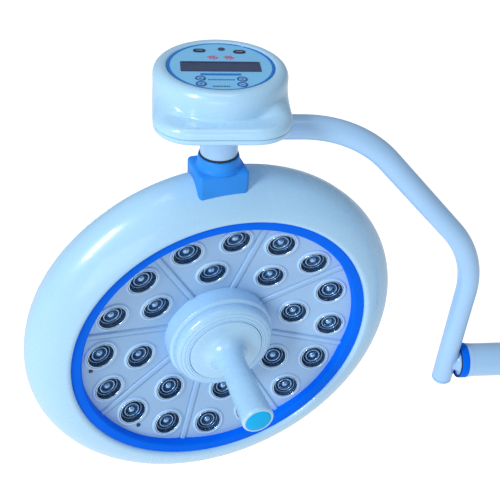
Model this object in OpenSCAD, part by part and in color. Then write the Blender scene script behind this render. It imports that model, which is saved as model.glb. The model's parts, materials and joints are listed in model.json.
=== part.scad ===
// Dental operating light: round shadowless lamp head, control pod, bent tube and arm end.
// Origin: centre of the open mouth of the arm socket. +X out of the mouth, +Z up, light towards -Y.

/* [Arm] */
// Outside radius of the arm tube
arm_r = 23.5; // [22.5:0.5:24.5]
// Length of the arm tube from its mouth
arm_len = 152; // [150:1:153]
// Radius of the open socket in the arm mouth
socket_r = 20.5; // [20:0.1:20.8]
// Depth of the open socket
socket_depth = 60; // [40:1:62]

/* [Bent tube] */
// Outside radius of the bent tube
tube_r = 14.1; // [13.5:0.1:14.5]
// Bore radius of the bent tube
tube_bore_r = 12.1; // [11.8:0.1:12.3]
// Bend radius on the tube's centreline
bend_r = 146; // [120:1:150]
// Height of the upper tube run above the arm
lift = 377; // [360:1:400]
// Distance from the arm mouth to the lower leg
leg_x = 184; // [184:1:184]
// Distance from the arm mouth to the neck
neck_x = 520; // [500:1:540]

/* [Pod] */
// Radius of the pod's round tower
tower_r = 72.5; // [70:0.5:74]
// Half width of the pod's base
base_hw = 73; // [73:0.5:76]
// Height of the control face above the tube axis
pod_top = 67; // [62:1:75]
// Travel of the keys
key_travel = 0.8; // [0.3:0.1:0.9]

/* [Head] */
// Radius of the lamp head
head_r = 250; // [250:1:250]
// Turn of the head on its neck at rest
head_yaw = 14; // [-30:1:30]
// Radius of the circle of inner lenses
lens_in_r = 107.4; // [105:0.1:110]
// Radius of the circle of outer lenses
lens_out_r = 159.2; // [158:0.1:159.4]
// Radius of each lens
lens_r = 17.8; // [16:0.1:17.8]
// Length of the handle beyond the lamp's reference plane
handle_len = 146; // [120:1:160]

/* [Hidden] */
$fn = 96;
white = [0.86, 0.92, 0.98];
blue = [0.05, 0.40, 0.95];
off = 15;                       // neck axis behind the lamp's reference plane
side = 7;                       // neck axis left of the lamp's centre
hc = [-neck_x + off * sin(head_yaw) + side * cos(head_yaw), -off * cos(head_yaw) + side * sin(head_yaw), lift - 308.8];
x1 = -365; x2 = -leg_x; z2 = 188;   // tube corners
a_low = atan((x2 - x1) / (lift - z2));
a_up = 90 - a_low;
t_low = bend_r * tan(a_low / 2);
t_up = bend_r * tan(a_up / 2);
diag = sqrt(pow(x2 - x1, 2) + pow(lift - z2, 2)) - t_low - t_up;
slope = 0.2056;                 // dish of the lens panel
tilt = atan(slope);
neck_end = -31.3;               // foot of the neck below the tube axis
function dish(r) = r < 71 ? (71 - 159.2) * slope : (r - 159.2) * slope;
ec = [188.8, -19.3]; ea = head_r - 188.8; eb = 43.6;   // rim section ellipse
function rim(t, d = 0) = [ec[0] + (ea - d) * cos(t), ec[1] + (eb - d) * sin(t)];
t_part = -14.2;
facets = [for (i = [0:7]) 96.1 - 45 * i];

module head_frame() translate(hc) rotate([0, 0, head_yaw]) rotate([90, 0, 0]) children();
module xcyl(x0, xe, r) translate([x0, 0, 0]) rotate([0, 90, 0]) cylinder(r = r, h = xe - x0);
module neck_at(z = 0) translate([-neck_x, 0, lift + z]) children();
// Run of round bar along the bent tube's centreline; each bend is a hair fatter than the straights that enter it
module tube_run(r, z0, xe, e = 0.5) {
  translate([x2, 0, z0]) cylinder(r = r, h = z2 - t_low - z0 + e);
  translate([x2 - bend_r, 0, z2 - t_low]) rotate([90, 0, 0]) rotate_extrude(angle = a_low) translate([bend_r, 0]) circle(r = r + 0.02);
  translate([x2, 0, z2]) rotate([0, -a_low, 0]) translate([0, 0, t_low - e]) cylinder(r = r, h = diag + 2 * e);
  translate([x1 - t_up, 0, lift - bend_r]) rotate([90, 0, 0]) rotate([0, 0, a_low]) rotate_extrude(angle = a_up) translate([bend_r, 0]) circle(r = r + 0.02);
  translate([xe, 0, lift]) rotate([0, 90, 0]) cylinder(r = r, h = x1 - t_up - xe + e);
}

// ---- arm
module arm_tube() color(white) difference() {
  xcyl(-arm_len, 0, arm_r);
  xcyl(-arm_len - 1, 1, 19.5);
  xcyl(-socket_depth, 1, socket_r);
  for (a = [0, 120, 240]) rotate([a, 0, 0]) translate([-30, 0, 15]) cylinder(r = 3.05, h = 12);
}
module arm_end_ring() color(blue) difference() {
  union() { xcyl(-arm_len - 12.8, -arm_len - 0.02, arm_r + 0.7); xcyl(-arm_len - 11.8, -arm_len - 1, arm_r + 1.3); }
  xcyl(-arm_len - 14, -arm_len + 1, 19.5);
}
module arm_seal_ring() color("black") difference() { xcyl(-arm_len - 14.2, -arm_len - 12.85, 22.8); xcyl(-arm_len - 16, -arm_len - 12, 12.2); }
module arm_bush_front() color("tan") difference() { xcyl(-arm_len - 12.5, -138, 19.45); xcyl(-arm_len - 14, -137, 10.05); }
module arm_bush_rear() color("tan") difference() { xcyl(-98, -72.2, 19.45); xcyl(-99, -72, 10.05); }
module arm_socket_screws() color("dimgray") for (a = [0, 120, 240]) rotate([a, 0, 0]) translate([-30, 0, socket_r + 0.15]) difference() {
  cylinder(r = 3, h = 2.7); translate([0, 0, 1.2]) cylinder(r = 1.6, h = 2, $fn = 6); }

// ---- bent arm
module bent_tube() color(white) difference() {
  union() {
    tube_run(tube_r, -30, -497);
    // branch that carries the arm spindle
    translate([x2, 0, 0]) rotate([0, 90, 0]) rotate_extrude() polygon([[0, 0], [13.2, 0], [13.4, 9], [14.6, 12.5], [17.2, 15], [20.6, 16.6], [21.4, 17.2], [21.4, 17.6], [0, 17.6]]);
  }
  tube_run(tube_bore_r, -31, -498);
  xcyl(x2, x2 + 20, 10.05);
}
module arm_tee_block() color("silver") translate([x2, 0, 0]) difference() { translate([0, 0, -16]) cylinder(r = 12.05, h = 32); xcyl(-9, 20, 10.02); }
module arm_spindle() color("silver") difference() {
  xcyl(x2 - 6, -66, 10);
  difference() { xcyl(-71.2, -69.6, 11); xcyl(-72, -69, 8.5); }
}
module arm_spindle_clip() color("gray") difference() { xcyl(-71.1, -69.7, 15); xcyl(-72, -69, 8.55); translate([-72, -3, 0]) cube([4, 6, 20]); }
module tube_end_cap() color(white) translate([x2, 0, 0]) difference() {
  union() { translate([0, 0, -36]) rotate_extrude() polygon([[0, 0], [12.4, 0], [13.5, 0.7], [14.1, 2], [14.1, 5.2], [0, 5.2]]); translate([0, 0, -31]) cylinder(r = 12.05, h = 13); }
  translate([0, 0, -28]) cylinder(r = 9.5, h = 20);
}
module pod_pivot_spindle() color("silver") translate([0, 0, lift]) difference() {
  union() { xcyl(-532, -450, 9); xcyl(-497, -450, 12.05); }
  difference() { xcyl(-518, -514, 10); xcyl(-519, -513, 7.5); }
}
module lamp_cable() color("dimgray") tube_run(3, 20, -446);

// ---- pod
module base2d(d = 0) {
  translate([0, 11]) circle(r = tower_r - d);
  translate([-base_hw + d, -37]) square([2 * (base_hw - d), 48]);
  translate([-32, -78 + d]) square([64, 60]);
  for (s = [-1, 1]) translate([s * 32, -37]) circle(r = 41 - d);
}
module keys2d(c = 0) {
  for (p = [[-21.2, 48.4], [22.5, 46]]) translate(p) oval2d(c);
  for (p = [[-23.4, -20.6], [-23.2, -33], [19.6, -21.9], [18.8, -34.3]]) translate(p) circle(r = 5.4 + c);
}
module oval2d(c = 0) { square([5, 8.5 + 2 * c], center = true); for (s = [-1, 1]) translate([s * 2.5, 0]) circle(r = 4.25 + c); }
bosses = [[-52, -38], [52, -38], [-46, 48], [46, 48]];
module pod_shell() color(white) neck_at() difference() {
  union() {
    translate([0, 0, 27]) linear_extrude(height = 9) base2d();
    translate([0, 0, 35.9]) linear_extrude(height = 2) base2d(1);
    translate([0, 0, 37.8]) linear_extrude(height = 1.2) base2d(3);
    translate([0, 11, 30]) rotate_extrude() polygon(concat([[0, 0], [tower_r, 0], [tower_r, pod_top - 40]],
      [for (a = [0:15:90]) [tower_r - 10 + 10 * cos(a), pod_top - 40 + 10 * sin(a)]], [[0, pod_top - 30]]));
  }
  difference() {
    union() { translate([0, 0, 26]) linear_extrude(height = 10) base2d(3); translate([0, 11, 26]) cylinder(r = tower_r - 3, h = pod_top - 41); translate([0, 11, 26]) cylinder(r = tower_r - 12, h = pod_top - 30.5); }
    for (p = bosses) translate([p[0], p[1], 20]) cylinder(r = 5, h = 40);
  }
  translate([0, 11, pod_top - 6]) cylinder(r = 57.5, h = 10);
  for (p = bosses) translate([p[0], p[1], 20]) cylinder(r = 1.8, h = 14);
}
module pod_bottom_cover() color(white) neck_at() difference() {
  union() { translate([0, 0, 21.5]) linear_extrude(height = 4.9) base2d(0.3); translate([0, 0, 19.5]) linear_extrude(height = 2.1) base2d(2.5); }
  translate([0, 0, 22.5]) linear_extrude(height = 6) base2d(5);
  translate([0, 0, 10]) cylinder(r = 21.5, h = 20);
  for (p = bosses) translate([p[0], p[1], 18]) cylinder(r = 2, h = 10);
}
module pod_cover_screws() color("gray") neck_at() for (p = bosses) translate([p[0], p[1], 17.6]) { cylinder(r = 3.4, h = 1.8); cylinder(r = 1.7, h = 14); }
module pod_chassis() color("silver") neck_at() difference() {
  translate([0, 0, 28]) union() { cylinder(r = 44, h = 2.5); for (a = [45:90:315]) rotate([0, 0, a]) translate([38, 0, 0]) cylinder(r = 3, h = 22); }
  for (a = [0:90:270]) rotate([0, 0, a]) translate([15, 0, 20]) cylinder(r = 2.2, h = 20);
  translate([0, 0, 20]) cylinder(r = 6, h = 20);
}
module chassis_screws() color("gray") neck_at() for (a = [0:90:270]) rotate([0, 0, a]) translate([15, 0, 0]) { translate([0, 0, 30.6]) cylinder(r = 3.8, h = 3); translate([0, 0, 15]) cylinder(r = 2.1, h = 16); }
module neck_tube() color(white) neck_at() difference() {
  union() { translate([0, 0, neck_end]) cylinder(r = 21.4, h = 27.9 - neck_end); }
  xcyl(-13, 30, 12.5);
  translate([0, 0, neck_end - 1]) cylinder(r = 9.02, h = -14 - neck_end);
  translate([4, 0, 0]) rotate([-90, 0, 0]) cylinder(r = 1.95, h = 30);
  for (a = [0:90:270]) rotate([0, 0, a]) translate([15, 0, 14.5]) cylinder(r = 2.15, h = 20);
}
module pod_bushes() color("tan") neck_at() difference() {
  union() { xcyl(-12.9, -1, 12.45); xcyl(8, 21, 12.45); }
  xcyl(-14, 22, 9.05);
}
module neck_screw() color("gray") neck_at() translate([4, 7.8, 0]) rotate([-90, 0, 0]) difference() { cylinder(r = 1.9, h = 12.5); translate([0, 0, 10]) cylinder(r = 1, h = 3, $fn = 6); }
module neck_ring() color("black") neck_at(neck_end - 1.9) difference() { cylinder(r = 22.6, h = 1.85); translate([0, 0, -1]) cylinder(r = 9.3, h = 4); }
module neck_spindle() color("silver") neck_at() difference() {
  translate([0, 0, -52]) cylinder(r = 9, h = 36.5);
  translate([0, 0, -44.8]) difference() { cylinder(r = 10, h = 4); translate([0, 0, -1]) cylinder(r = 7.5, h = 6); }
}
module panel_face() color([0.60, 0.80, 0.98]) neck_at(pod_top - 1.5) difference() {
  translate([0, 11, 0]) cylinder(r = 55.9, h = 1.5);
  translate([0, 0, -1]) linear_extrude(height = 4) { keys2d(0.2); translate([-0.5, 8.5]) square([82.2, 21.7], center = true); translate([3.2, 52.6]) circle(r = 4); }
}
module panel_ring() color(blue) neck_at(pod_top - 1.5) translate([0, 11, 0]) difference() { cylinder(r = 57.4, h = 1.8); translate([0, 0, -1]) cylinder(r = 56, h = 4); }
module display_window() color([0.22, 0.28, 0.42]) neck_at(pod_top - 2.5) translate([-0.5, 8.5, 0.5]) linear_extrude(height = 2.2) square([82, 21.5], center = true);
module sensor_window() color([0.1, 0.15, 0.3]) neck_at(pod_top - 2.5) translate([3.2, 52.6, 0]) cylinder(r = 3.9, h = 3);
module display_board() color("darkgreen") neck_at(pod_top - 9) difference() { translate([0, 11, 0]) cylinder(r = 54, h = 1.6); for (s = [-1, 1]) translate([s * 50, -24, -1]) cylinder(r = 3, h = 4); }
module key_switches() color("dimgray") neck_at(pod_top - 7.3) for (p = [[-21.2, 48.4], [22.5, 46], [-23.4, -20.6], [-23.2, -33], [19.6, -21.9], [18.8, -34.3]]) translate([p[0] - 3, p[1] - 3, 0]) cube([6, 6, 3]);
module round_key(p) color([0.75, 0.9, 1]) neck_at(pod_top - 3.4) translate(p) { cylinder(r = 5.4, h = 4.0); }
module oval_key(p) color([0.08, 0.1, 0.3]) neck_at(pod_top - 3.4) translate(p) linear_extrude(height = 4.0) oval2d();
module key_power() oval_key([-21.2, 48.4]);
module key_mode() oval_key([22.5, 46]);
module key_up() round_key([-23.4, -20.6]);
module key_down() round_key([-23.2, -33]);
module key_plus() round_key([19.6, -21.9]);
module key_minus() round_key([18.8, -34.3]);

// ---- head (x right, y up, z towards the light)
module rim_solid(d = 0) rotate_extrude($fn = 144) polygon(concat([[0, 24]], [for (t = [78:-6:-90]) rim(t, -d)], [[0, ec[1] - eb - d]]));
module rim_block() color([0.2, 0.6, 1]) head_frame() difference() {
  union() {
    difference() {
      translate([-side - 30, 224, -41]) cube([60, 38, 51]);
      for (s = [-1, 1], z = [-41, 10]) translate([s * 30 - side, 220, z]) rotate([-90, 0, 0]) difference() { translate([-5, -5, 0]) cube([10, 10, 50]); translate([-s * 5, (z > 0 ? 5 : -5), -1]) cylinder(r = 5, h = 60); }
    }
    translate([-side, 250, -off]) rotate([-90, 0, 0]) rotate_extrude() polygon([[0, 0], [27, 0], [27, 12], [25.4, 13.2], [24.4, 15.4], [23.4, 24.4], [22.8, 25.3], [0, 25.3]]);
  }
  rim_solid(0.1);
  translate([-side, 256, -off]) rotate([-90, 0, 0]) cylinder(r = 12.5, h = 40);
  translate([-side, 254.5, -off]) rotate([-90, 0, 0]) cylinder(r = 9.3, h = 4);
  for (s = [-1, 1]) translate([s * 20 - side, 240, -off]) rotate([-90, 0, 0]) cylinder(r = 2.55, h = 18.5);
  translate([-side, 266, -off - 40]) cylinder(r = 1.95, h = 40);
}
module block_bushes() color("tan") head_frame() for (p = [[256, 263.4], [268.6, 275]]) translate([-side, p[0], -off]) rotate([-90, 0, 0]) difference() { cylinder(r = 12.45, h = p[1] - p[0]); translate([0, 0, -1]) cylinder(r = 9.05, h = 20); }
module block_screws() color("gray") head_frame() for (s = [-1, 1]) translate([s * 20 - side, 239.2, -off]) rotate([-90, 0, 0]) { cylinder(r = 4.3, h = 3.9); cylinder(r = 2.5, h = 18.6); }
module block_grub_screw() color("gray") head_frame() translate([-side, 266, -off - 23.2]) cylinder(r = 1.9, h = 15.4);
cover_pts = [for (a = [22.5:45:337.5]) a];
module front_casing() color(white) head_frame() difference() {
  union() {
    rotate_extrude($fn = 144) polygon(concat([[198.7, 2.2], [198.7, 18.2], [199.6, 20.6], [201.5, 22.2]], [for (t = [75:-5.575:t_part]) rim(t)], [rim(t_part)],
      [for (t = [t_part + 0.1:5.9:73]) rim(t, 3)], [[201.7, 17.5], [201.7, -0.8], [185, -0.8], [185, 2.2]]));
    for (a = cover_pts) rotate([0, 0, a]) translate([232, 0, -29.9]) cylinder(r = 5, h = 34);
  }
  for (a = cover_pts) rotate([0, 0, a]) translate([232, 0, -31]) cylinder(r = 2.25, h = 22);
  for (s = [-1, 1]) translate([s * 20 - side, 240, -off]) rotate([-90, 0, 0]) cylinder(r = 2.7, h = 20);
}
module back_cover() color(white) head_frame() difference() {
  union() {
    rotate_extrude($fn = 144) polygon(concat([for (t = [t_part - 0.6:-5:-84]) rim(t)], [rim(-90), [120, -65.4], [60, -67], [0, -67.5], [0, -64.5], [60, -64], [120, -62.4]],
      [for (t = [-90:5:t_part - 1]) rim(t, 3)], [rim(t_part - 0.6, 3)]));
    for (a = cover_pts) rotate([0, 0, a]) translate([232, 0, -48]) cylinder(r = 5, h = 17.9);
  }
  for (a = cover_pts) rotate([0, 0, a]) translate([232, 0, -60]) { cylinder(r = 2.3, h = 40); cylinder(r = 4.5, h = 14); }
}
module back_cover_screws() color("gray") head_frame() for (a = cover_pts) rotate([0, 0, a]) translate([232, 0, -48.5]) difference() { union() { cylinder(r = 4.2, h = 2.5); cylinder(r = 2.2, h = 37); } translate([0, 0, -1]) cylinder(r = 1.5, h = 2.5, $fn = 6); }
module trim_ring() color([0, 0.35, 1]) head_frame() rotate_extrude($fn = 144) polygon([[182.65, 5.2], [184.5, 5.5], [184.5, 8.4], [198.6, 8.4], [198.6, 16.9], [197, 17.7], [184.4, 14.6], [182.65, 13.2]]);
module at_lens(r) rotate([0, 0, 0]) translate([r, 0, dish(r)]) rotate([0, -tilt, 0]) children();
module each_lens() for (f = facets) { rotate([0, 0, f]) at_lens(lens_in_r) children(); for (s = [-1, 1]) rotate([0, 0, f + s * 11.17]) at_lens(lens_out_r) children(); }
screw_at = [[-178, 173], [-132, 173]];
module lens_panel() color([0.62, 0.76, 0.93]) head_frame() difference() {
  rotate_extrude($fn = 144) polygon([[30, dish(0)], [71, dish(71)], [193, dish(193)], [193, dish(193) - 2.5], [71, dish(71) - 2.5], [30, dish(0) - 2.5]]);
  each_lens() translate([0, 0, -6]) cylinder(r = 19.6, h = 12);
  for (q = screw_at) rotate([0, 0, q[0]]) at_lens(q[1]) translate([0, 0, -5]) cylinder(r = 1.6, h = 10);
}
module lens_bezels() color([0.75, 0.85, 0.97]) head_frame() each_lens() rotate_extrude($fn = 40) polygon([[lens_r + 0.2, -4], [19.4, -4], [19.4, 0.6], [21.8, 0.6], [21.8, 1.2], [20, 2.4], [lens_r + 0.6, 2.4], [lens_r + 0.2, 1.6]]);
module lenses() color([0.3, 0.4, 0.5, 0.5]) head_frame() each_lens() rotate_extrude($fn = 40) polygon([[0, -1.6], [lens_r, -1.6], [lens_r, 0.4], [12, 1.6], [6, 2.1], [0, 2.3]]);
module reflectors() color([0.4, 0.5, 0.6]) head_frame() each_lens() rotate_extrude($fn = 40) polygon([[17.7, -2], [17.7, -3.5], [7, -16.5], [4, -16.5], [4, -15.5], [6.3, -15.5], [16.7, -2]]);
module leds() color("white") head_frame() each_lens() translate([0, 0, -18.3]) cylinder(r = 3.4, h = 3.4, $fn = 24);
module led_boards() color("whitesmoke") head_frame() each_lens() translate([0, 0, -20]) cylinder(r = 11, h = 1.6, $fn = 24);
module heat_sink() color("silver") head_frame() {
  rotate_extrude($fn = 96) polygon([[85, dish(85) - 22], [176, dish(176) - 22], [176, dish(176) - 25], [161.5, dish(161.5) - 25], [161.5, -37], [159.5, -37], [159.5, dish(159.5) - 25],
    [134.5, dish(134.5) - 25], [134.5, -40], [132.5, -40], [132.5, dish(132.5) - 25], [109.5, dish(109.5) - 25], [109.5, -44], [107.5, -44], [107.5, dish(107.5) - 25], [85, dish(85) - 25]]);
  for (f = facets) rotate([0, 0, f + 22.5]) translate([133, 0, dish(133) - 24]) cylinder(r = 4, h = 20.4);
}
module led_driver() color("dimgray") head_frame() translate([-45, -28, -59]) cube([90, 56, 18]);
module panel_screws() color([0.1, 0.12, 0.2]) head_frame() for (q = screw_at) rotate([0, 0, q[0]]) at_lens(q[1]) { translate([0, 0, 0.12]) cylinder(r = 2.9, h = 1.4, $fn = 32); translate([0, 0, -6]) cylinder(r = 1.5, h = 6.5, $fn = 32); translate([0, 0, -5.4]) cylinder(r = 3.2, h = 2.5, $fn = 6); }
module hub_base() color(white) head_frame() rotate_extrude() polygon([[30, dish(0) + 0.05], [71, dish(0) + 0.05], [71, 3], [70, 5.4], [67.6, 6.8], [66, 7], [30, 7]]);
module hub_ring() color(white) head_frame() rotate_extrude() polygon([[49.4, 7.05], [66, 7.05], [66.2, 12], [65, 16], [62.6, 19.4], [60.4, 20.6], [59.6, 20.4], [59.2, 21], [55.8, 22], [55, 21.8], [54.6, 22.4], [52.6, 22.9], [52, 22.7], [51.6, 23.2], [49.4, 23.6]]);
module handle_socket() color("silver") head_frame() difference() {
  translate([0, 0, -22]) union() { cylinder(r = 29.9, h = 38); cylinder(r = 34, h = 1.2); }
  translate([0, 0, -16]) cylinder(r = 12.05, h = 40);
  translate([0, 0, -6.3]) cylinder(r = 15.6, h = 4.6);
}
module handle_grip() color(white) head_frame() difference() {
  rotate_extrude() polygon([[0, -13], [12, -13], [12, 18], [48.9, 18], [48.9, 23.3], [48.3, 23.9], [36, 25.2], [30, 26.8], [25.6, 29.2], [22, 33], [19.2, 38.5], [17.6, 46], [17.4, 60], [20, handle_len - 4], [19.7, handle_len - 1.4], [18.6, handle_len], [0, handle_len]]);
  translate([0, 0, handle_len - 4]) cylinder(r = 16.1, h = 6);
  translate([0, 0, -4]) rotate([0, 90, 0]) cylinder(r = 2.02, h = 40, center = true);
}
module handle_cap() color([0, 0.72, 1]) head_frame() translate([0, 0, handle_len - 3.98]) rotate_extrude() polygon([[0, 0], [16, 0], [16, 4], [15.2, 4.8], [0, 5.3]]);
module handle_pin() color("silver") head_frame() translate([0, 0, -4]) rotate([0, 90, 0]) cylinder(r = 2, h = 29.6, center = true);

arm_tube();
arm_end_ring();
arm_seal_ring();
arm_bush_front();
arm_bush_rear();
arm_socket_screws();
bent_tube();
arm_tee_block();
arm_spindle();
arm_spindle_clip();
tube_end_cap();
pod_pivot_spindle();
lamp_cable();
pod_shell();
pod_bottom_cover();
pod_chassis();
chassis_screws();
pod_bushes();
pod_cover_screws();
neck_tube();
neck_screw();
neck_ring();
neck_spindle();
panel_face();
panel_ring();
display_window();
sensor_window();
display_board();
key_switches();
key_power();
key_mode();
key_up();
key_down();
key_plus();
key_minus();
rim_block();
block_bushes();
block_screws();
block_grub_screw();
front_casing();
back_cover();
back_cover_screws();
trim_ring();
lens_panel();
lens_bezels();
lenses();
reflectors();
leds();
led_boards();
heat_sink();
led_driver();
panel_screws();
hub_base();
hub_ring();
handle_socket();
handle_grip();
handle_cap();
handle_pin();
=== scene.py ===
import bpy, bmesh, math, json
from mathutils import Vector, Matrix


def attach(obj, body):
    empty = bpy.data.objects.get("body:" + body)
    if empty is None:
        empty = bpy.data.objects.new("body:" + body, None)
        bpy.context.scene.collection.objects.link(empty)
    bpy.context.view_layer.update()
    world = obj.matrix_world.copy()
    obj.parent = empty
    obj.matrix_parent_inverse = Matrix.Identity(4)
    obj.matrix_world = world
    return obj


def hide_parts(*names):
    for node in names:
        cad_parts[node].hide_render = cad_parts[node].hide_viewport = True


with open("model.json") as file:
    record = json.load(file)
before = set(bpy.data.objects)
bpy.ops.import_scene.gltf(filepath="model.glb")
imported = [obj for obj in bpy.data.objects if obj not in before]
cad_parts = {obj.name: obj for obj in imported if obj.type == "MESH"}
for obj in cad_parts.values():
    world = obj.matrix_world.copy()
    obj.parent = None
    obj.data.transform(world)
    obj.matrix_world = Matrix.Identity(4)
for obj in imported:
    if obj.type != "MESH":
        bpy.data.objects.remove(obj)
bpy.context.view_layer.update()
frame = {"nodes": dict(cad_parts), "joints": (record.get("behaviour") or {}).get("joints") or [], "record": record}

MM = 0.001
sn, cs, rad = math.sin, math.cos, math.radians

# ---------------------------------------------------------------- materials
def material(name, base, rough=0.35, metal=0.0, var=0.04, scale=18.0, bump=0.02, bscale=900.0, coat=0.0, spec=0.5, alpha=1.0, dark=None, sss=0.0, emit=None):
    m = bpy.data.materials.new(name); m.use_nodes = True
    nt = m.node_tree; N = nt.nodes; L = nt.links; N.clear()
    out = N.new("ShaderNodeOutputMaterial"); p = N.new("ShaderNodeBsdfPrincipled")
    tc = N.new("ShaderNodeTexCoord")
    n1 = N.new("ShaderNodeTexNoise"); n1.inputs["Scale"].default_value = scale; n1.inputs["Detail"].default_value = 4
    L.new(tc.outputs["Object"], n1.inputs["Vector"])
    cr = N.new("ShaderNodeValToRGB"); L.new(n1.outputs["Fac"], cr.inputs["Fac"])
    a = dark or [c * (1 - var) for c in base]; b = [min(1, c * (1 + var)) for c in base]
    cr.color_ramp.elements[0].position = 0.35; cr.color_ramp.elements[0].color = (*a, 1)
    cr.color_ramp.elements[1].position = 0.65; cr.color_ramp.elements[1].color = (*b, 1)
    L.new(cr.outputs["Color"], p.inputs["Base Color"])
    n2 = N.new("ShaderNodeTexNoise"); n2.inputs["Scale"].default_value = scale * 6; n2.inputs["Detail"].default_value = 3
    L.new(tc.outputs["Object"], n2.inputs["Vector"])
    mr = N.new("ShaderNodeMapRange"); mr.inputs["To Min"].default_value = max(0.02, rough * 0.82); mr.inputs["To Max"].default_value = min(1, rough * 1.2)
    L.new(n2.outputs["Fac"], mr.inputs["Value"]); L.new(mr.outputs["Result"], p.inputs["Roughness"])
    n3 = N.new("ShaderNodeTexNoise"); n3.inputs["Scale"].default_value = bscale; n3.inputs["Detail"].default_value = 2
    L.new(tc.outputs["Object"], n3.inputs["Vector"])
    bp = N.new("ShaderNodeBump"); bp.inputs["Strength"].default_value = bump; bp.inputs["Distance"].default_value = 0.0004
    L.new(n3.outputs["Fac"], bp.inputs["Height"]); L.new(bp.outputs["Normal"], p.inputs["Normal"])
    p.inputs["Metallic"].default_value = metal; p.inputs["Coat Weight"].default_value = coat; p.inputs["Coat Roughness"].default_value = 0.085
    p.inputs["Specular IOR Level"].default_value = spec
    if sss: p.inputs["Subsurface Weight"].default_value = sss; p.inputs["Subsurface Scale"].default_value = 0.004
    if emit: p.inputs["Emission Color"].default_value = (*emit[0], 1); p.inputs["Emission Strength"].default_value = emit[1]
    if alpha < 1:
        tr = N.new("ShaderNodeBsdfTransparent"); mx = N.new("ShaderNodeMixShader"); fr = N.new("ShaderNodeLayerWeight"); fr.inputs["Blend"].default_value = 0.35
        ad = N.new("ShaderNodeMath"); ad.operation = "MULTIPLY_ADD"; ad.use_clamp = True; ad.inputs[1].default_value = 1 - alpha; ad.inputs[2].default_value = alpha
        L.new(fr.outputs["Fresnel"], ad.inputs[0]); L.new(ad.outputs[0], mx.inputs["Fac"]); L.new(tr.outputs[0], mx.inputs[1]); L.new(p.outputs[0], mx.inputs[2]); L.new(mx.outputs[0], out.inputs["Surface"])
    else:
        L.new(p.outputs[0], out.inputs["Surface"])
    return m

WHITE = (0.455, 0.735, 0.99)
MAT = {
 "white_plastic": material("white_plastic", WHITE, 0.27, var=0.012, scale=9, bump=0.004, coat=0.5),
 "white_paint": material("white_paint", (0.41, 0.66, 0.98), 0.30, var=0.015, scale=14, bump=0.03, bscale=500, coat=0.4),
 "blue_plastic": material("blue_plastic", (0.0, 0.158, 0.97), 0.50, var=0.03, scale=25, bump=0.02, spec=0.05),
 "block_blue": material("block_blue", (0.022, 0.29, 0.90), 0.45, var=0.04, scale=30, bump=0.05, spec=0.3),
 "cap_blue": material("cap_blue", (0.0, 0.50, 0.98), 0.45, var=0.04, scale=60, bump=0.05, spec=0.15),
 "panel_grey": material("panel_grey", (0.365, 0.58, 0.865), 0.42, var=0.02, scale=20, bump=0.07, bscale=1400, coat=0.08),
 "panel_film": material("panel_film", (0.235, 0.62, 0.99), 0.48, var=0.02, scale=30, bump=0.03),
 "dark_window": material("dark_window", (0.014, 0.038, 0.125), 0.20, var=0.15, scale=120, bump=0.005, coat=0.3),
 "dark_plastic": material("dark_plastic", (0.012, 0.016, 0.06), 0.35, var=0.2, scale=80, bump=0.05),
 "round_key": material("round_key", (0.25, 0.50, 0.82), 0.40, var=0.05, scale=90, bump=0.05),
 "lens_clear": material("lens_clear", (0.10, 0.15, 0.24), 0.05, var=0.04, scale=60, bump=0.0, alpha=0.07, spec=0.9),
 "reflector_chrome": material("reflector_chrome", (0.065, 0.135, 0.235), 0.26, metal=0.25, var=0.3, scale=220, bump=0.12, bscale=160, coat=0.12, spec=0.35),
 "steel": material("steel", (0.52, 0.53, 0.56), 0.32, metal=1.0, var=0.08, scale=80, bump=0.08),
 "aluminium": material("aluminium", (0.62, 0.64, 0.68), 0.38, metal=1.0, var=0.05, scale=60, bump=0.10),
 "bush_plastic": material("bush_plastic", (0.62, 0.52, 0.34), 0.55, var=0.06, scale=60, bump=0.10),
 "board": material("board", (0.012, 0.16, 0.06), 0.45, var=0.25, scale=150, bump=0.10),
 "seal_rubber": material("seal_rubber", (0.010, 0.012, 0.02), 0.55, var=0.2, scale=100, bump=0.10),
 "led_white": material("led_white", (0.85, 0.88, 0.90), 0.25, var=0.04, scale=200, bump=0.02),
}
BEZEL = material("bezel_pale", (0.48, 0.71, 0.98), 0.36, var=0.02, scale=40, bump=0.03, coat=0.2)
RED = material("mark_red", (0.70, 0.03, 0.12), 0.5, var=0.1, scale=200, bump=0.02)
PINK = material("mark_pink", (0.55, 0.36, 0.66), 0.5, var=0.1, scale=200, bump=0.02)
STRIP = material("mark_blue", (0.0, 0.20, 0.68), 0.5, var=0.06, scale=100, bump=0.02)
RIMINK = material("mark_rim", (0.0, 0.10, 0.36), 0.5, var=0.06, scale=100, bump=0.02)
INK = material("mark_ink", (0.05, 0.11, 0.30), 0.5, var=0.1, scale=200, bump=0.02)
CHROME = material("lens_centre", (0.62, 0.78, 0.97), 0.14, metal=0.85, var=0.16, scale=150, bump=0.10)

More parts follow.
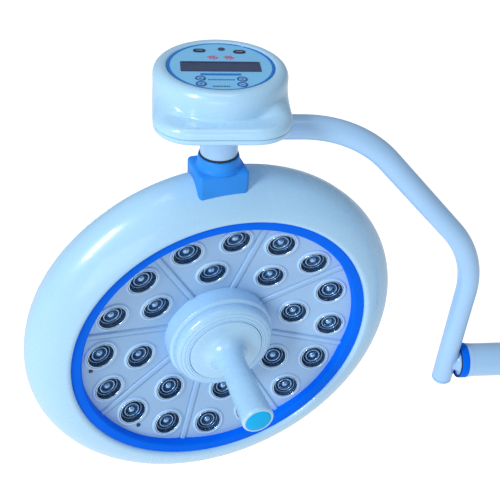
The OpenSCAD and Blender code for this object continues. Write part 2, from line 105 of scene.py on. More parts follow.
def lens_glass():
    m = bpy.data.materials.new("lens_glass"); m.use_nodes = True; nt = m.node_tree; N = nt.nodes; L = nt.links; N.clear()
    out = N.new("ShaderNodeOutputMaterial"); tr = N.new("ShaderNodeBsdfTransparent"); gl = N.new("ShaderNodeBsdfGlossy"); mx = N.new("ShaderNodeMixShader"); fr = N.new("ShaderNodeFresnel")
    tc = N.new("ShaderNodeTexCoord"); no = N.new("ShaderNodeTexNoise"); no.inputs["Scale"].default_value = 70; cr = N.new("ShaderNodeValToRGB")
    cr.color_ramp.elements[0].color = (0.80, 0.88, 0.98, 1); cr.color_ramp.elements[1].color = (0.90, 0.95, 1.0, 1)
    L.new(tc.outputs["Object"], no.inputs["Vector"]); L.new(no.outputs["Fac"], cr.inputs["Fac"]); L.new(cr.outputs["Color"], tr.inputs["Color"])
    gl.inputs["Roughness"].default_value = 0.05; gl.inputs["Color"].default_value = (0.55, 0.75, 1.0, 1); fr.inputs["IOR"].default_value = 1.10
    L.new(fr.outputs[0], mx.inputs["Fac"]); L.new(tr.outputs[0], mx.inputs[1]); L.new(gl.outputs[0], mx.inputs[2]); L.new(mx.outputs[0], out.inputs["Surface"])
    return m
MAT["lens_clear"] = lens_glass()
slots = {s["node"]: s["material_slot"] for s in frame["record"]["subparts"]}
for name, o in frame["nodes"].items():
    o.data.materials.clear(); o.data.materials.append(MAT[slots[name]])
    for p in o.data.polygons: p.use_smooth = True; p.material_index = 0
    o.data.set_sharp_from_angle(angle=rad(32))

# ---------------------------------------------------------------- mesh helpers
HC = Vector((-520 + 15 * sn(rad(14)) + 7 * cs(rad(14)), -15 * cs(rad(14)) + 7 * sn(rad(14)), 68.2))
HEAD = Matrix.Translation(HC) @ Matrix.Rotation(rad(14), 4, "Z") @ Matrix.Rotation(rad(90), 4, "X")
POD = Matrix.Translation((-520, 0, 377))
ARM = Matrix.Rotation(rad(90), 4, "Y")

def finish(bm, name, mat, M, body, repl=(), angle=35):
    bmesh.ops.remove_doubles(bm, verts=bm.verts, dist=1e-5)
    bmesh.ops.recalc_face_normals(bm, faces=bm.faces)
    bm.transform(Matrix.Scale(MM, 4) @ M)
    me = bpy.data.meshes.new(name); bm.to_mesh(me); bm.free()
    for p in me.polygons: p.use_smooth = True
    me.set_sharp_from_angle(angle=rad(angle))
    me.materials.append(mat)
    o = bpy.data.objects.new(name, me); bpy.context.scene.collection.objects.link(o)
    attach(o, body)
    if repl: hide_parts(*repl)
    return o

def fillet(pts, radii, n=6):
    out = []; k = len(pts)
    for i in range(k):
        r = radii[i] if isinstance(radii, (list, tuple)) else radii
        a, b, c = Vector(pts[i - 1]), Vector(pts[i]), Vector(pts[(i + 1) % k])
        u, v = (a - b), (c - b)
        if r <= 0 or u.length < 1e-6 or v.length < 1e-6: out.append(tuple(b)); continue
        ang = u.angle(v)
        if abs(ang - math.pi) < 0.02: out.append(tuple(b)); continue
        t = min(r / math.tan(ang / 2), u.length * 0.49, v.length * 0.49); rr = t * math.tan(ang / 2)
        p0, p1 = b + u.normalized() * t, b + v.normalized() * t
        cen = b + (u.normalized() + v.normalized()).normalized() * (rr / sn(ang / 2))
        d0, d1 = p0 - cen, p1 - cen; tot = d0.angle_signed(d1)
        for j in range(n + 1):
            w = -tot * j / n; out.append((cen.x + d0.x * cs(w) - d0.y * sn(w), cen.y + d0.x * sn(w) + d0.y * cs(w)))
    return out

def add_revolve(bm, prof, seg, M=Matrix.Identity(4)):
    rings = []
    for r, z in prof:
        if abs(r) < 1e-6: rings.append([bm.verts.new(M @ Vector((0, 0, z)))])
        else: rings.append([bm.verts.new(M @ Vector((r * cs(2 * math.pi * i / seg), r * sn(2 * math.pi * i / seg), z))) for i in range(seg)])
    k = len(prof)
    for i in range(k):
        A, B = rings[i], rings[(i + 1) % k]
        if len(A) == 1 and len(B) == 1: continue
        for j in range(seg):
            q = (j + 1) % seg
            if len(A) == 1: bm.faces.new((A[0], B[j], B[q]))
            elif len(B) == 1: bm.faces.new((A[j], B[0], A[q]))
            else: bm.faces.new((A[j], B[j], B[q], A[q]))

def revolve(name, prof, mat, M, body, repl=(), seg=160, angle=35):
    bm = bmesh.new(); add_revolve(bm, prof, seg)
    return finish(bm, name, mat, M, body, repl, angle)

def rim(t, d=0.0): return (188.8 + (61.2 - d) * cs(rad(t)), -19.3 + (43.6 - d) * sn(rad(t)))
def steps(a, b, n): return [a + (b - a) * i / (n - 1) for i in range(n)]

# ---------------------------------------------------------------- lamp head shells
front = [(198.75, 3), (198.75, 17.6), (198.9, 19.0), (199.5, 20.4), (200.5, 21.6), (202.2, 22.5)] + [rim(t) for t in steps(75, -13.2, 56)] + \
        [(248.35, -29.6), (247.9, -29.95), (247.2, -30.0)] + [rim(t, 3) for t in steps(-14.0, 71, 40)] + [(201.8, 16.5), (201.8, 3)]
revolve("front_casing_shell", front, MAT["white_plastic"], HEAD, "head", ["front_casing"], 240)
back = [(247.2, -30.9), (247.8, -31.0), (248.1, -31.4)] + [rim(t) for t in steps(-16.6, -86, 40)] + [(176, -63.2), (150, -64.3), (120, -65.4), (60, -67), (0, -67.5), (0, -64.5), (60, -64), (120, -62.4), (150, -61.3), (176, -60.4)] + \
       [rim(t, 3) for t in steps(-86, -16.6, 30)]
bc = revolve("back_cover_shell", back, MAT["white_plastic"], HEAD, "head", ["back_cover"], 192)

def cutter(mats, r, z0, z1, seg=24):
    bm = bmesh.new()
    for M in mats: add_revolve(bm, [(0, z0), (r, z0), (r, z1), (0, z1)], seg, M)
    bmesh.ops.recalc_face_normals(bm, faces=bm.faces); bm.transform(Matrix.Scale(MM, 4) @ HEAD)
    me = bpy.data.meshes.new("cut"); bm.to_mesh(me); bm.free()
    o = bpy.data.objects.new("cut", me); bpy.context.scene.collection.objects.link(o); return o

def subtract(obj, cut):
    md = obj.modifiers.new("cut", "BOOLEAN"); md.operation = "DIFFERENCE"; md.solver = "EXACT"; md.object = cut
    dg = bpy.context.evaluated_depsgraph_get(); me = bpy.data.meshes.new_from_object(obj.evaluated_get(dg))
    obj.modifiers.clear(); mats = list(obj.data.materials); obj.data = me
    obj.data.materials.clear()
    for m in mats: obj.data.materials.append(m)
    for p in me.polygons: p.use_smooth = True; p.material_index = 0
    me.set_sharp_from_angle(angle=rad(30)); bpy.data.objects.remove(cut)

holes = [Matrix.Rotation(rad(a), 4, "Z") @ Matrix.Translation((232, 0, 0)) for a in [22.5 + 45 * i for i in range(8)]]
subtract(bc, cutter(holes, 4.6, -60, -45.9))

trim = fillet([(185.3, 1.0), (187.3, 1.0), (187.3, 8.4), (198.6, 8.4), (198.6, 19.2), (187.0, 17.6), (185.3, 15.6)], [0, 0, 0, 0.3, 1.6, 1.5, 0.8])
revolve("trim_ring_band", trim, MAT["blue_plastic"], HEAD, "head", ["trim_ring"], 240)

# dished panel of eight flat facets, with a raised seam between neighbours
K = 0.2182
def plane(r, th, f): return (r * cs(th - f) - 156.2) * K
FAC = [rad(96.1 - 45 * i) for i in range(8)]
D = [-6.2, -4.6, -3.9, -3.2, -2.6, -1.9, 1.9, 2.6, 3.2, 3.9, 4.6, 6.2]
H = [0, -1.0, -1.0, 0.9, 1.7, 1.9, 1.9, 1.7, 0.9, -1.0, -1.0, 0]
radii = steps(56, 193, 42)
bm = bmesh.new(); top = []; bot = []
order = sorted([f % (2 * math.pi) for f in FAC])
for r in radii:
    row = []
    for i, f in enumerate(order):
        g = f + rad(22.5)               # seam after this facet
        a0 = f - rad(22.5) + math.asin(D[-1] / r); a1 = g + math.asin(D[0] / r)
        for j in range(1, 20):
            th = a0 + (a1 - a0) * j / 20; row.append((th, plane(r, th, f)))
        for d, h in zip(D, H):
            th = g + math.asin(d / r); z = max(plane(r, th, f), plane(r, th, f + rad(45)))
            row.append((th, z + h))
    top.append([bm.verts.new((r * cs(t), r * sn(t), z)) for t, z in row]); bot.append([bm.verts.new((r * cs(t), r * sn(t), z - 2.6)) for t, z in row])
n = len(top[0])
for i in range(len(radii) - 1):
    for j in range(n):
        q = (j + 1) % n
        bm.faces.new((top[i][j], top[i + 1][j], top[i + 1][q], top[i][q])); bm.faces.new((bot[i][j], bot[i][q], bot[i + 1][q], bot[i + 1][j]))
for j in range(n):
    q = (j + 1) % n
    bm.faces.new((top[0][j], top[0][q], bot[0][q], bot[0][j])); bm.faces.new((top[-1][j], bot[-1][j], bot[-1][q], top[-1][q]))
panel = finish(bm, "facet_panel", MAT["panel_grey"], HEAD, "head", ["lens_panel"], 20)

LENS = []
for f in FAC:
    for r, da in ((107.4, 0), (159.2, 11.17), (159.2, -11.17)):
        LENS.append(Matrix.Rotation(f, 4, "Z") @ Matrix.Translation((r * cs(rad(da)), r * sn(rad(da)), (r * cs(rad(da)) - 156.2) * K)) @ Matrix.Rotation(-math.atan(K), 4, "Y"))
subtract(panel, cutter(LENS, 19.3, -8, 8, 48))

def at_lenses(name, prof, mat, repl, seg=48, angle=30, mats=LENS):
    bm = bmesh.new()
    for M in mats: add_revolve(bm, prof, seg, M)
    return finish(bm, name, mat, HEAD, "head", repl, angle)
bez = fillet([(19.0, -4), (19.25, -4), (19.25, 0.05), (22.6, 0.05), (22.4, 1.1), (21.1, 2.1), (19.7, 2.3), (19.0, 1.5)], [0, 0, 0, 0, 0.8, 1.0, 0.6, 0.5], 4)
at_lenses("lens_bezel_rings", bez, BEZEL, ["lens_bezels"])
cup = [(18.9, 0.3), (17.2, 0.3), (16.7, -0.8), (15.9, -3.2), (14.6, -5.6), (12.9, -7.6), (11.2, -8.8), (10.6, -8.9), (10.2, -8.2), (9.2, -7.8), (8.4, -8.2), (7.9, -9.6), (6.2, -10.8), (4.4, -11.2), (0, -11.2),
       (0, -12.4), (5, -12.4), (9, -11.4), (12.5, -10.2), (15.6, -7.2), (17.4, -3.6), (18.9, -1)]
at_lenses("reflector_cups", cup, MAT["reflector_chrome"], ["reflectors"], 48, 50)
bead = [(18.55, 0.2)] + [(17.85 + 0.7 * cs(rad(a)), 1.35 + 0.75 * sn(rad(a))) for a in range(0, 181, 30)] + [(17.15, 0.2)]
inner = [(10.5, -8.6)] + [(9.6 + 0.95 * cs(rad(a)), -3.6 + 0.95 * sn(rad(a))) for a in (0, 30, 60, 90, 120, 150, 180)] + [(8.7, -8.6)]
at_lenses("lens_inner_rings", inner, CHROME, (), 40, 60)
at_lenses("lens_rim_beads", bead, CHROME, (), 48, 60)
mid = [(13.9 + 0.55 * cs(rad(a)), -3.9 + 0.55 * sn(rad(a))) for a in range(0, 360, 45)]
at_lenses("lens_middle_rings", mid, CHROME, (), 40, 60)
bm = bmesh.new()
for M in LENS:
    for i in range(12):
        a = rad(30 * i + 15); S = M @ Matrix.Rotation(a, 4, "Z")
        P = [(11.4, -0.55, -8.4), (11.4, 0.55, -8.4), (16.2, 0.35, -1.7), (16.2, -0.35, -1.7)]; Q = [(x - 0.55, y, z + 0.5) for x, y, z in P]
        A = [bm.verts.new(S @ Vector(p)) for p in P]; B = [bm.verts.new(S @ Vector(p)) for p in Q]
        bm.faces.new(A[::-1]); bm.faces.new(B)
        for k in range(4): bm.faces.new((A[k], A[(k + 1) % 4], B[(k + 1) % 4], B[k]))
finish(bm, "reflector_ribs", MAT["reflector_chrome"], HEAD, "head", (), 30)
dome = [(0, -11.6), (4.7, -11.6), (4.7, -5.0)] + [(4.7 * cs(rad(a)), -5.0 + 3.2 * sn(rad(a))) for a in (15, 30, 45, 60, 75)] + [(0, -1.8)]
at_lenses("lens_centre_domes", dome, CHROME, (), 32, 60)
lens = [(0, 0.5), (17.1, 0.5), (17.1, 1.2), (16.4, 1.6), (13.6, 2.1), (9, 2.5), (4, 2.75), (0, 2.8)]
at_lenses("lens_caps", lens, MAT["lens_clear"], ["lenses"], 48, 60)

# hub and handle
hb = fillet([(30, -22), (71, -22), (71, 4.6), (67.6, 7.0), (30, 7.0)], [0, 0, 2.5, 1.5, 0])
revolve("hub_base_shell", hb, MAT["white_plastic"], HEAD, "head", ["hub_base"], 160)
hr = [(49.4, 7.05), (65.6, 7.05), (66.2, 8.2), (66.3, 12), (65.9, 14.6), (64.9, 17.0), (63.2, 19.0), (61.2, 20.3), (60.5, 20.5), (60.15, 20.05), (59.8, 20.05), (59.45, 20.9), (58.8, 21.3), (56.2, 22.05), (55.7, 22.1), (55.4, 21.55), (55.0, 21.55), (54.7, 22.35), (54.1, 22.6),
      (52.6, 22.95), (52.2, 22.95), (51.95, 22.45), (51.6, 22.45), (51.35, 23.1), (50.6, 23.4), (49.9, 23.3), (49.5, 22.9)]
revolve("hub_step_ring", hr, MAT["white_plastic"], HEAD, "head", ["hub_ring"], 160, 28)
hg = [(0, -13), (11.4, -13), (12, -12.4), (12, 18), (48.2, 18), (48.8, 18.6), (48.85, 23.0), (48.5, 23.8), (47.6, 24.15), (42, 24.75), (36, 25.4), (31.5, 26.4), (28, 28.0), (25, 30.4), (22.4, 33.8), (20.3, 38), (18.7, 43.5), (17.7, 50), (17.4, 58), (17.55, 72), (18.4, 100), (19.4, 130), (19.85, 140.5), (19.8, 142.6), (19.3, 144.4), (18.3, 145.6), (17.2, 146.0), (16.3, 145.9), (16.1, 145.4), (16.1, 142), (0, 142)]
revolve("handle_shell", hg, MAT["white_plastic"], HEAD, "handle", ["handle_grip"], 128, 40)
hcap = [(0, 142.1), (16, 142.1), (16, 145.2), (15.6, 145.9), (14.4, 146.3), (9, 146.9), (0, 147.2)]
revolve("handle_cap_disc", hcap, MAT["cap_blue"], HEAD, "handle", ["handle_cap"], 96, 40)

# saddle block and its collar
def rounded_block():
    bm = bmesh.new(); x0, x1, z0, z1, R = -37.0, 23.0, -41.0, 10.0, 5.0
    def plan(d):
        P = []; rr = max(R - d, 0.6)
        for cx, cz, a in ((x1 - R, z1 - R, 0), (x0 + R, z1 - R, 90), (x0 + R, z0 + R, 180), (x1 - R, z0 + R, 270)):
            for j in range(9): t = rad(a + 90 * j / 8); P.append((cx + rr * cs(t), cz + rr * sn(t)))
        return P
    rows = [(0, 226 + i * 2.2) for i in range(15)] + [(0, 258.0)] + [(4.0 * (1 - cs(rad(a))), 258 + 4.0 * sn(rad(a))) for a in (18, 36, 54, 72, 90)]
    R0 = [[bm.verts.new((x, y, z)) for x, z in plan(d)] for d, y in rows]; n = len(R0[0])
    for a, b in zip(R0, R0[1:]):
        for j in range(n): bm.faces.new((a[j], a[(j + 1) % n], b[(j + 1) % n], b[j]))
    bm.faces.new(R0[0]); bm.faces.new(R0[-1])
    return bm
blk = finish(rounded_block(), "rim_block_body", MAT["block_blue"], HEAD, "head", ["rim_block"], 40)
bm = bmesh.new(); add_revolve(bm, [(0, 28)] + [rim(t, -0.1) for t in steps(84, -88, 90)] + [(0, -63.2)], 360)
bmesh.ops.recalc_face_normals(bm, faces=bm.faces); bm.transform(Matrix.Scale(MM, 4) @ HEAD); me = bpy.data.meshes.new("rimcut"); bm.to_mesh(me); bm.free()
rc = bpy.data.objects.new("rimcut", me); bpy.context.scene.collection.objects.link(rc); subtract(blk, rc)
COL = HEAD @ Matrix.Translation((-7, 250, -15)) @ Matrix.Rotation(rad(-90), 4, "X")
col = [(12.6, 11.5), (27.6, 11.5), (27.3, 12.05), (26.2, 12.6), (25.3, 13.5), (24.7, 14.8), (24.3, 17), (23.9, 20), (23.6, 23.4), (23.2, 24.7), (22.4, 25.25), (12.6, 25.25)]
revolve("block_collar", col, MAT["block_blue"], COL, "head", (), 96, 40)

# ---------------------------------------------------------------- control pod
CY = -4.0
def ray_circle(cx, cy, R, th):
    dx, dy = cs(th), sn(th); ox, oy = -cx, CY - cy
    b = ox * dx + oy * dy; c = ox * ox + oy * oy - R * R; d = b * b - c
    return -b + math.sqrt(d) if d > 0 else 0
def tower(th, d=0.0): return ray_circle(0, 11, 72.5 - d, th)
def base(th, d=0.0):
    best = tower(th, d)
    dx, dy = cs(th), sn(th); hw, fy, Rc = 73 - d, -78 + d, 41 - d
    for s in (-1, 1): best = max(best, ray_circle(s * 32, -37, Rc, th))
    if dy < 0:
        t = (fy - CY) / dy
        if abs(t * dx) <= 32: best = max(best, t)
    if abs(dx) > 1e-6:
        t = hw / abs(dx); y = CY + t * dy
        if -37 <= y <= 11: best = max(best, t)
    return best
NT = 256
def contour(fn): return [fn(2 * math.pi * i / NT) for i in range(NT)]
def smooth(c, k=3):
    for _ in range(k): c = [(c[i - 1] + 2 * c[i] + c[(i + 1) % NT]) / 4 for i in range(NT)]
    return c
Rb = smooth(contour(base), 6); Rt = contour(tower)
def shell_rows():
    rows = []
    W = [max(0.0, b - t) for b, t in zip(Rb, Rt)]
    S = []
    for i in range(NT):
        phi = abs((360 * i / NT + 90 + 180) % 360 - 180); u = min(1, max(0, (phi - 33) / 27)); S.append(u * u * (3 - 2 * u))
    k = [min(6.0, w * 0.55) for w in W]; f = [min(1.8, w * 0.18) for w in W]
    up = [0.0] * NT; vf = [3.4] * NT
    E = lambda c, z, m=1.0: rows.append((c, [z + m * q for q in up]))
    E([b - 3 for b in Rb], 27.3, 0); E([b - 0.9 for b in Rb], 27.3, 0); E([b - 0.3 for b in Rb], 27.6, 0); E(list(Rb), 28.4, 0); E(list(Rb), 32.0)
    for a in (15, 30, 45, 60, 75, 90): E([b - q * (1 - cs(rad(a))) for b, q in zip(Rb, k)], 32 + 6.5 * sn(rad(a)))
    for u, dip in ((0.3, 0.62), (0.65, 0.34)): E([b - q + (t + g - b + q) * u for b, t, q, g in zip(Rb, Rt, k, f)], 38.5 + 0.7 * u, dip)
    for a in (0, 15, 30, 45, 60, 75): rows.append(([t + g * (1 - sn(rad(a))) for t, g in zip(Rt, f)], [39.2 + 0.18 * q + v * (1 - cs(rad(a))) for q, v in zip(up, vf)]))
    rows.append(([t + 0.0 for t in Rt], [40.3 + 0.18 * q + v for q, v in zip(up, vf)]))
    rows.append(([t + 0.0 for t in Rt], [45.6] * NT)); rows.append(([t - 0.05 for t in Rt], [48.0] * NT))
    rows.append(([t - 0.1 for t in Rt], [51.0] * NT))
    n0 = 4; n1 = len(rows) - 1
    for j in range(n0, n1 + 1):
        t = (j - n0) / (n1 - n0); c, z = rows[j]; e = t * t * (3 - 2 * t)
        rows[j] = ([c[i] + (Rb[i] - W[i] * e - 0.1 * e - c[i]) * S[i] for i in range(NT)], [z[i] + (32 + 19 * t - z[i]) * S[i] for i in range(NT)])
    return rows
def pod_solid():
    bm = bmesh.new(); rings = []
    for c, z in shell_rows():
        rings.append([bm.verts.new((c[i] * cs(2 * math.pi * i / NT), CY + c[i] * sn(2 * math.pi * i / NT), z[i])) for i in range(NT)])
    # tower's rounded shoulder, then the recess of the control face; concentric with the tower
    ang = [math.atan2(CY + Rt[i] * sn(2 * math.pi * i / NT) - 11, Rt[i] * cs(2 * math.pi * i / NT)) for i in range(NT)]
    prof = [(72.4, 54.0)] + [(62.8 + 9.6 * cs(rad(a)), 57.8 + 10.8 * sn(rad(a))) for a in (4, 12, 20, 28, 36, 44, 52, 60, 68, 76, 84, 90)] + [(60.6, 68.5), (59.1, 68.2), (58.2, 67.7), (57.7, 66.9), (57.55, 66), (57.55, 63), (56.9, 63), (56.9, 60), (66, 58), (69, 50), (69, 40), (68.5, 30.5), (68.5, 29.5)]
    for r, z in prof: rings.append([bm.verts.new((r * cs(a), 11 + r * sn(a), z)) for a in ang])
    for a, b in zip(rings, rings[1:] + rings[:1]):
        for j in range(NT): bm.faces.new((a[j], a[(j + 1) % NT], b[(j + 1) % NT], b[j]))
    return bm
finish(pod_solid(), "pod_upper_shell", MAT["white_plastic"], POD, "pod", ["pod_shell"], 50)
bm = bmesh.new(); rings = []
Rc2 = [b - 0.3 for b in Rb]
for d, z in [(3.2, 26.7), (0.7, 26.7), (0.2, 26.4), (0, 25.8), (0, 24.0), (0.5, 22.4), (1.6, 21.0), (3.2, 20.1), (5.2, 19.6), (8, 19.5)]:
    rings.append([bm.verts.new(((Rc2[i] - d) * cs(2 * math.pi * i / NT), CY + (Rc2[i] - d) * sn(2 * math.pi * i / NT), z)) for i in range(NT)])
angc = [2 * math.pi * i / NT for i in range(NT)]
def neck_ring_pt(a, r, z):
    t = ray_circle(0, 0, r, a); return bm.verts.new((t * cs(a), CY + t * sn(a), z))
for r, z in ((60, 19.5), (40, 19.5), (22.2, 19.5), (21.7, 19.9), (21.7, 22.4), (40, 22.4), (60, 22.4)): rings.append([neck_ring_pt(a, r, z) for a in angc])
for a, b in zip(rings, rings[1:] + rings[:1]):
    for j in range(NT): bm.faces.new((a[j], a[(j + 1) % NT], b[(j + 1) % NT], b[j]))
finish(bm, "pod_lower_cover", MAT["white_plastic"], POD, "pod", ["pod_bottom_cover"], 40)

# control face graphics: thin raised pieces
ZT = 67.0
def prism(bm, poly, z0, z1):
    A = [bm.verts.new((x, y, z0)) for x, y in poly]; B = [bm.verts.new((x, y, z1)) for x, y in poly]; n = len(poly)
    bm.faces.new(A[::-1]); bm.faces.new(B)
    for i in range(n): bm.faces.new((A[i], A[(i + 1) % n], B[(i + 1) % n], B[i]))
bm = bmesh.new(); n = 200; V = []
for k, (ax, ay, z) in enumerate(((57.4, 57.4, ZT - 0.6), (57.4, 57.4, ZT + 0.30), (57.1, 57.1, ZT + 0.42), (54.4, 55.8, ZT + 0.42), (54.2, 55.6, ZT + 0.30), (54.2, 55.6, ZT + 0.02))):
    V.append([bm.verts.new((ax * cs(2 * math.pi * i / n), 11 + ay * sn(2 * math.pi * i / n), z)) for i in range(n)])
for a, b in zip(V, V[1:] + V[:1]):
    for j in range(n): bm.faces.new((a[j], a[(j + 1) % n], b[(j + 1) % n], b[j]))
finish(bm, "panel_ring_band", STRIP, POD, "pod", ["panel_ring"], 30)
def rbox(cx, cy, w, h, r, n=5):
    P = []
    for sx, sy, a in ((1, 1, 0), (-1, 1, 90), (-1, -1, 180), (1, -1, 270)):
        for j in range(n + 1): t = rad(a + 90 * j / n); P.append((cx + sx * (w / 2 - r) + r * cs(t), cy + sy * (h / 2 - r) + r * sn(t)))
    return P
bm = bmesh.new(); prism(bm, rbox(-1.6, -10.4, 42.4, 4.4, 1.0), ZT + 0.02, ZT + 0.25); finish(bm, "panel_strip", STRIP, POD, "pod", ())
def frame2d(bm, cx, cy, w, h, r, t, z0, z1):
    A = rbox(cx, cy, w, h, r); B = rbox(cx, cy, w - 2 * t, h - 2 * t, max(r - t, 0.2)); n = len(A); V = []
    for P, z in ((A, z0), (A, z1), (B, z1), (B, z0)): V.append([bm.verts.new((x, y, z)) for x, y in P])
    for a, b in zip(V, V[1:] + V[:1]):
        for j in range(n): bm.faces.new((a[j], a[(j + 1) % n], b[(j + 1) % n], b[j]))
bm = bmesh.new(); frame2d(bm, -0.5, 8.5, 85, 24, 1.6, 2.6, ZT + 0.02, ZT + 0.5); finish(bm, "display_frame", MAT["dark_window"], POD, "pod", ())
bm = bmesh.new()
for cx, sg in ((-7.4, -1), (10.2, 1)):
    for i, (h, y) in enumerate(((2.4, 1.0), (6.4, 0.6), (9.2, -0.3), (6.0, 1.2), (10.6, -0.9), (8.2, 0.9), (5.2, -1.5), (2.4, -0.6))):
        x = cx + (i - 3.5) * 1.55; prism(bm, [(x - 0.46, 31.2 + y - h / 2), (x + 0.46, 31.2 + y - h / 2), (x + 0.46, 31.2 + y + h / 2), (x - 0.46, 31.2 + y + h / 2)], ZT + 0.02, ZT + 0.2)
finish(bm, "panel_wave_marks", RED, POD, "pod", ())
bm = bmesh.new()
for a, b, y in ((-34.5, -15.5, 31.2), (18.5, 36.2, 31.2)): prism(bm, [(a, y - 0.34), (b, y - 0.34), (b, y + 0.34), (a, y + 0.34)], ZT + 0.02, ZT + 0.15)
finish(bm, "panel_wave_lines", PINK, POD, "pod", ())
bm = bmesh.new()
for x0, x1, y, w in ((-15.4, 11.4, -22.6, 1.7), (-11.5, 6.8, -37.6, 1.7)):
    x = x0; i = 0
    while x < x1 - 1.2:
        d = (1.7, 1.2, 2.1)[i % 3]; prism(bm, [(x, y - 1.25), (x + d, y - 1.25), (x + d, y + 1.25), (x, y + 1.25)], ZT + 0.02, ZT + 0.15); x += d + 0.65; i += 1
finish(bm, "panel_dash_rows", INK, POD, "pod", ())
for key, (x, y), sym in (("key_up", (-23.4, -20.6), "t"), ("key_down", (-23.2, -33), "b"), ("key_plus", (19.6, -21.9), "p"), ("key_minus", (18.8, -34.3), "m")):
    body = [j["child"] for j in frame["joints"] if j["name"] == key + "_press"][0]
    bm = bmesh.new(); T = Matrix.Translation((x, y, 0)); z = 67.6
    add_revolve(bm, [(3.75, z + 0.02), (5.4, z + 0.02), (5.3, z + 0.3), (3.85, z + 0.3)], 40, T)
    finish(bm, key + "_rim", RIMINK, POD, body, ())
    bm = bmesh.new()
    if sym in "tb":
        s = 1 if sym == "t" else -1; prism(bm, [(x - 1.9, y - s * 1.1), (x + 1.9, y - s * 1.1), (x, y + s * 1.7)][::s], z + 0.02, z + 0.2)
    else:
        prism(bm, rbox(x, y, 3.6, 0.9, 0.2, 2), z + 0.02, z + 0.2)
        if sym == "p":
            for s in (-1, 1): prism(bm, rbox(x, y + s * 1.13, 0.9, 1.3, 0.15, 2), z + 0.02, z + 0.2)
    finish(bm, key + "_mark", INK, POD, body, ())
for key, (x, y) in (("key_power", (-21.2, 48.4)), ("key_mode", (22.5, 46))):
    body = [j["child"] for j in frame["joints"] if j["name"] == key + "_press"][0]
    bm = bmesh.new()
    for i in range(4): prism(bm, rbox(x - 2.7 + 1.8 * i, y, 1.1, 1.5, 0.2, 2), 67.62, 67.75)
    finish(bm, key + "_mark", MAT["panel_grey"], POD, body, ())

# neck, seals
NECK = [(0, -31.3), (20.6, -31.3), (21.2, -31.0), (21.4, -30.4), (21.4, 27.6), (21.1, 27.9), (0, 27.9)]
neck = revolve("neck_sleeve", NECK, MAT["white_paint"], POD, "pod", ["neck_tube"], 96)
sc = bpy.data.meshes.new("c"); bm = bmesh.new(); add_revolve(bm, [(0, -13), (12.5, -13), (12.5, 30), (0, 30)], 64); bmesh.ops.recalc_face_normals(bm, faces=bm.faces); bm.transform(Matrix.Scale(MM, 4) @ POD @ Matrix.Rotation(rad(90), 4, "Y")); bm.to_mesh(sc); bm.free()
so = bpy.data.objects.new("c", sc); bpy.context.scene.collection.objects.link(so); subtract(neck, so)
sc = bpy.data.meshes.new("c"); bm = bmesh.new(); add_revolve(bm, [(0, -33), (9.2, -33), (9.2, -15), (0, -15)], 48); bmesh.ops.recalc_face_normals(bm, faces=bm.faces); bm.transform(Matrix.Scale(MM, 4) @ POD); bm.to_mesh(sc); bm.free()
so = bpy.data.objects.new("c", sc); bpy.context.scene.collection.objects.link(so); subtract(neck, so)
revolve("neck_seal", fillet([(9.3, -33.2), (22.5, -33.2), (22.5, -31.4), (9.3, -31.4)], [0, 0.6, 0.6, 0]), MAT["seal_rubber"], POD, "pod", ["neck_ring"], 96)

# ---------------------------------------------------------------- bent tube
x1, x2, z2, lift, R = -365.0, -184.0, 188.0, 377.0, 146.0
al = math.atan((x2 - x1) / (lift - z2)); au = math.pi / 2 - al; tl = R * math.tan(al / 2); tu = R * math.tan(au / 2)
path = []
for z in steps(-30, z2 - tl, 8): path.append((x2, z, 0.0))
for i in range(1, 28): a = al * i / 28; path.append((x2 - R + R * cs(a), z2 - tl + R * sn(a), a))
p0 = Vector((x2 - tl * sn(al), z2 + tl * cs(al))); p1 = Vector((x1 + tu * sn(al), lift - tu * cs(al)))
for u in steps(0, 1, 8): q = p0 + (p1 - p0) * u; path.append((q.x, q.y, al))
for i in range(1, 28): a = al + au * i / 28; path.append((x1 - tu + R * cs(a), lift - R + R * sn(a), a))
for x in steps(x1 - tu, -497, 6): path.append((x, lift, math.pi / 2))
def sweep(name, pts, ro, ri, mat, body, repl):
    bm = bmesh.new(); S = 64; sections = [(pts[0], ro - 0.5, -0.0)]
    def ring(p, r, shift=0.0):
        x, z, a = p; out = []
        for i in range(S):
            t = 2 * math.pi * i / S; u, v = r * cs(t), r * sn(t)
            out.append(bm.verts.new((x + u * cs(a) - shift * sn(a), v, z + u * sn(a) + shift * cs(a))))
        return out
    rings = [ring(pts[0], ri + 0.3), ring(pts[0], ro - 0.4), ring(pts[0], ro, 0.4)] + [ring(p, ro) for p in pts[1:-1]] + [ring(pts[-1], ro, -0.4), ring(pts[-1], ro - 0.4), ring(pts[-1], ri + 0.3), ring(pts[-1], ri, -0.4)] + [ring(p, ri) for p in pts[-2:0:-1]] + [ring(pts[0], ri, 0.4)]
    for a, b in zip(rings, rings[1:] + rings[:1]):
        for j in range(S): bm.faces.new((a[j], a[(j + 1) % S], b[(j + 1) % S], b[j]))
    return finish(bm, name, mat, Matrix.Identity(4), body, repl, 40)
sweep("bent_tube_skin", path, 14.1, 12.1, MAT["white_paint"], "bent_arm", ["bent_tube"])
cap = [(0, -36), (11.6, -35.9), (12.9, -35.4), (13.7, -34.4), (14.1, -33.2), (14.1, -31.5), (13.6, -30.95), (12.0, -30.95), (12.0, -18), (9.5, -18), (9.5, -28), (0, -28)]
revolve("tube_foot_cap", cap, MAT["white_paint"], Matrix.Translation((x2, 0, 0)), "bent_arm", ["tube_end_cap"], 64)

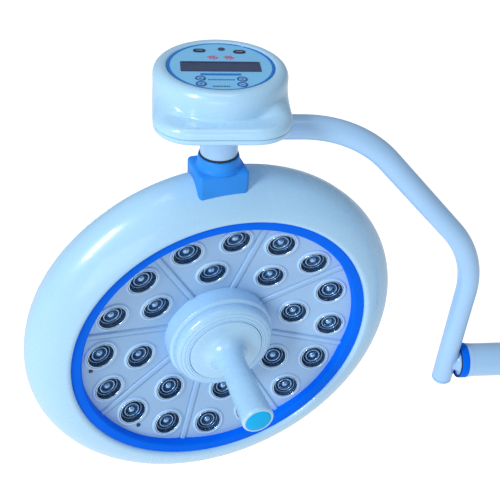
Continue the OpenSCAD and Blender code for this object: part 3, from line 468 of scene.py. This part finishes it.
br = [(10.1, 6), (13.2, 6), (13.25, 9.5), (13.7, 12), (14.7, 14), (16.3, 15.6), (18.4, 16.6), (20.6, 17.0), (21.2, 17.2), (21.4, 17.5), (21.1, 17.7), (10.1, 17.7)]
brn = revolve("tube_branch", br, MAT["white_paint"], Matrix.Translation((x2, 0, 0)) @ ARM, "bent_arm", (), 96, 45)
sc = bpy.data.meshes.new("c"); bm = bmesh.new(); add_revolve(bm, [(0, -60), (13.6, -60), (13.6, 60), (0, 60)], 96); bmesh.ops.recalc_face_normals(bm, faces=bm.faces); bm.transform(Matrix.Scale(MM, 4) @ Matrix.Translation((x2, 0, 0))); bm.to_mesh(sc); bm.free()
so = bpy.data.objects.new("c", sc); bpy.context.scene.collection.objects.link(so); subtract(brn, so)

# ---------------------------------------------------------------- arm
at = fillet([(19.5, -151.8), (19.6, -151.9), (23.75, -151.9), (23.75, -157.3), (24.1, -157.3), (24.1, -151.0), (23.5, -150.6), (23.5, 0), (20.5, 0), (20.5, -60), (19.5, -60)], [0, 0, 0, 0, 0.2, 0, 0, 1.2, 0.8, 0, 0])
revolve("arm_tube_skin", at, MAT["white_paint"], ARM, "arm", ["arm_tube"], 96)
ar = fillet([(19.5, -165.1), (21.9, -165.1), (21.9, -168.2), (24.8, -168.2), (24.8, -157.6), (23.7, -157.6), (23.7, -152.1), (19.5, -152.1)], [0, 0, 0.3, 1.1, 0.9, 0, 0, 0])
revolve("arm_seal_lip", [(22.0, -168.1), (24.3, -168.1), (24.4, -168.7), (24.0, -169.2), (22.6, -169.5), (22.0, -169.2)], MAT["seal_rubber"], ARM, "arm", (), 96)
revolve("arm_ring_band", ar, MAT["blue_plastic"], ARM, "arm", ["arm_end_ring"], 96)

# ---------------------------------------------------------------- studio
def floor():
    me = bpy.data.meshes.new("floor"); s = 14.0; me.from_pydata([(-s, -s, -1.1), (s, -s, -1.1), (s, s, -1.1), (-s, s, -1.1)], [], [(0, 1, 2, 3)])
    o = bpy.data.objects.new("floor", me); bpy.context.scene.collection.objects.link(o)
    o.data.materials.append(material("floor_pale", (0.93, 0.94, 0.95), 0.7, var=0.004, scale=2, bump=0.0, emit=((0.95, 0.98, 1.0), 0.72)))
    nt = o.data.materials[0].node_tree; p = [q for q in nt.nodes if q.type == "BSDF_PRINCIPLED"][0]
    lp = nt.nodes.new("ShaderNodeLightPath"); m = nt.nodes.new("ShaderNodeMath"); m.operation = "MULTIPLY_ADD"; m.inputs[1].default_value = 0.50; m.inputs[2].default_value = 0.36
    nt.links.new(lp.outputs["Is Camera Ray"], m.inputs[0]); nt.links.new(m.outputs[0], p.inputs["Emission Strength"])
floor()
def area(name, loc, target, size, power, col=(1, 1, 1)):
    l = bpy.data.lights.new(name, "AREA"); l.shape = "RECTANGLE"; l.size, l.size_y = size; l.energy = power; l.color = col
    o = bpy.data.objects.new(name, l); o.location = loc
    o.rotation_euler = (Vector(target) - Vector(loc)).to_track_quat("-Z", "Y").to_euler(); bpy.context.scene.collection.objects.link(o)
T0 = (-0.5, 0, 0.15)
area("key", (-2.4, -1.6, 1.7), T0, (0.50, 1.2), 47, (0.92, 0.98, 1))
area("top", (-0.6, -0.5, 2.6), T0, (1.4, 1.0), 9, (0.92, 0.97, 1))
area("front", (-0.9, -2.8, 0.1), T0, (1.4, 1.2), 8.5, (0.88, 0.95, 1))
bpy.context.scene.view_settings.view_transform = "Standard"; bpy.context.scene.view_settings.look = "None"
w = bpy.data.worlds.new("studio"); bpy.context.scene.world = w; w.use_nodes = True
w.node_tree.nodes["Background"].inputs["Color"].default_value = (0.88, 0.94, 1.0, 1); w.node_tree.nodes["Background"].inputs["Strength"].default_value = 0.33
wn = w.node_tree.nodes; wl = w.node_tree.links; plain_bg = wn.new("ShaderNodeBackground"); plain_bg.inputs["Color"].default_value = (1, 1, 1, 1); plain_bg.inputs["Strength"].default_value = 1.0
lp = wn.new("ShaderNodeLightPath"); wm = wn.new("ShaderNodeMixShader"); wo = [q for q in wn if q.type == "OUTPUT_WORLD"][0]
wl.new(lp.outputs["Is Camera Ray"], wm.inputs["Fac"]); wl.new(wn["Background"].outputs[0], wm.inputs[1]); wl.new(plain_bg.outputs[0], wm.inputs[2]); wl.new(wm.outputs[0], wo.inputs["Surface"])

W = ((0.993782, -0.097085, 0.054518), (-0.016287, -0.61112, -0.791371), (0.110147, 0.785562, -0.608901))
cam = bpy.data.cameras.new("camera"); cam.sensor_fit = "HORIZONTAL"; cam.sensor_width = 36; cam.lens = 802.49 / 500 * 36; cam.clip_start = 0.01; cam.clip_end = 60
co = bpy.data.objects.new("camera", cam); bpy.context.scene.collection.objects.link(co)
co.matrix_world = Matrix(((W[0][0], -W[1][0], -W[2][0], -0.586097), (W[0][1], -W[1][1], -W[2][1], -0.777183), (W[0][2], -W[1][2], -W[2][2], 0.807842), (0, 0, 0, 1)))
bpy.context.scene.camera = co
